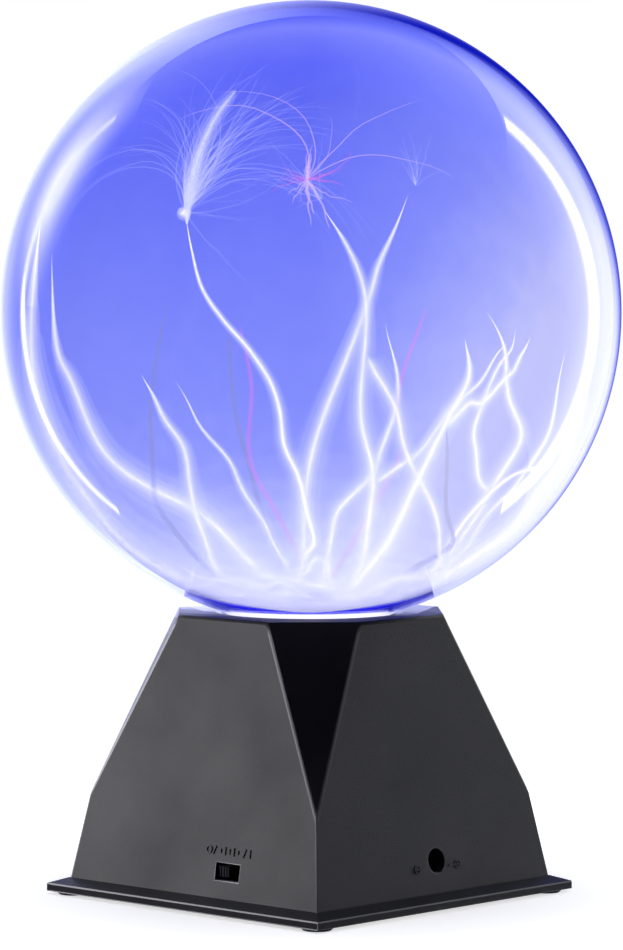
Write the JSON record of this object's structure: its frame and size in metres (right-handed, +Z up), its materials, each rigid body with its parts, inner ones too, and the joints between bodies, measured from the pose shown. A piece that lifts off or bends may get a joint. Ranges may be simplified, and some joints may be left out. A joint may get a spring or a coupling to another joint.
{
  "type": "plasma ball",
  "caption": "Glass plasma globe on a black faceted pyramid base with a sliding mode switch, a power inlet and rubber feet, driver board inside.",
  "frame": {"origin": "on the table, at the middle of the base's underside, where the rubber feet stand", "axes": "+Z up through the globe, +X out of the face with the power inlet, -Y out of the face with the mode switch"},
  "size_m": [0.2032, 0.2032, 0.2922],
  "materials": {
    "globe_glass": "polished",
    "stem_glass": "polished",
    "steel_wool": "matt",
    "tinned_copper": "satin",
    "silicone_white": "matt",
    "silicone_red": "satin",
    "housing_abs": "fine mould texture",
    "tray_abs": "fine mould texture",
    "black_zinc": "black zinc",
    "foot_rubber": "matt",
    "board_green": "solder mask",
    "bright_zinc": "zinc plated",
    "solder": "satin",
    "nickel_sheet": "plated sheet",
    "phenolic": "laminate",
    "knob_plastic": "satin",
    "jack_plastic": "satin",
    "nickel_pin": "nickel plated",
    "ferrite": "sintered",
    "spring_steel": "satin",
    "spool_nylon": "moulded",
    "enamelled_wire": "enamelled copper",
    "potting_resin": "cast",
    "sink_aluminium": "anodised",
    "moulded_epoxy": "moulded",
    "mica": "sheet",
    "capacitor_sleeve": "shrink sleeve",
    "capacitor_film": "dipped",
    "resistor_lacquer": "lacquer",
    "microphone_can": "drawn can"
  },
  "bodies": {
    "base": {"glass_globe": "globe_glass", "stem_glass": "stem_glass", "electrode_wool": "steel_wool", "electrode_lead": "tinned_copper", "neck_gasket": "silicone_white", "neck_adhesive": "silicone_white", "stem_boot": "silicone_red", "high_voltage_lead": "silicone_red", "upper_housing": "housing_abs", "base_tray": "tray_abs", "case_screws": "black_zinc", "foot_1": "foot_rubber", "foot_2": "foot_rubber", "foot_3": "foot_rubber", "foot_4": "foot_rubber", "circuit_board": "board_green", "board_screws": "bright_zinc", "solder_joints": "solder", "switch_frame": "nickel_sheet", "switch_base": "phenolic", "switch_terminals": "tinned_copper", "jack_housing": "jack_plastic", "jack_pin": "nickel_pin", "jack_terminals": "tinned_copper", "core_half_lower": "ferrite", "core_half_upper": "ferrite", "core_clip": "spring_steel", "transformer_bobbin": "spool_nylon", "primary_winding": "enamelled_wire", "secondary_winding": "enamelled_wire", "secondary_potting": "potting_resin", "heat_sink": "sink_aluminium", "power_transistor": "moulded_epoxy", "transistor_pad": "mica", "transistor_screw": "bright_zinc", "filter_capacitor": "capacitor_sleeve", "coupling_capacitor": "capacitor_sleeve", "film_capacitor": "capacitor_film", "driver_chip": "moulded_epoxy", "resistors": "resistor_lacquer", "rectifier_diode": "moulded_epoxy", "microphone": "microphone_can"},
    "mode_switch": {"switch_slider": "knob_plastic"}
  },
  "joints": [
    {"name": "switch_slide", "type": "slide", "parent": "base", "child": "mode_switch", "axis": [1, 0, 0], "range_m": [0, 0.005]}
  ]
}
